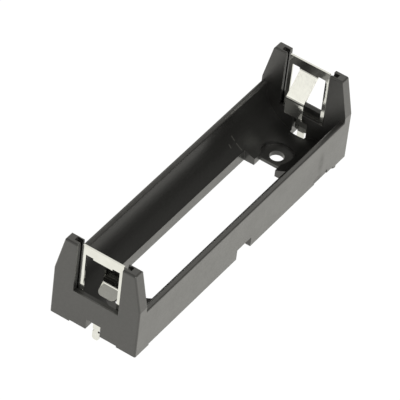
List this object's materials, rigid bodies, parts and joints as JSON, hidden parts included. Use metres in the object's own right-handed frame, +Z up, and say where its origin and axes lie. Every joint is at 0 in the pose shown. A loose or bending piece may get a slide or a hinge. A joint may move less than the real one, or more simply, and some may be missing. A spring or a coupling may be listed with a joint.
{
  "type": "cylindrical cell holder",
  "caption": "Open moulded tray that holds one cylindrical cell on a circuit board between two folded spring contacts with solder tails.",
  "frame": {"origin": "middle of the holder in the plane of the board, which its feet stand on", "axes": "+X along the cell, +Y across it, +Z up from the board"},
  "size_m": [0.0772, 0.021, 0.024],
  "materials": {
    "moulding": "fine satin moulding, near black",
    "contact_metal": "bright plated spring sheet"
  },
  "bodies": {
    "root": {"holder_body": "moulding", "right_contact": "contact_metal", "left_contact": "contact_metal"}
  },
  "joints": []
}
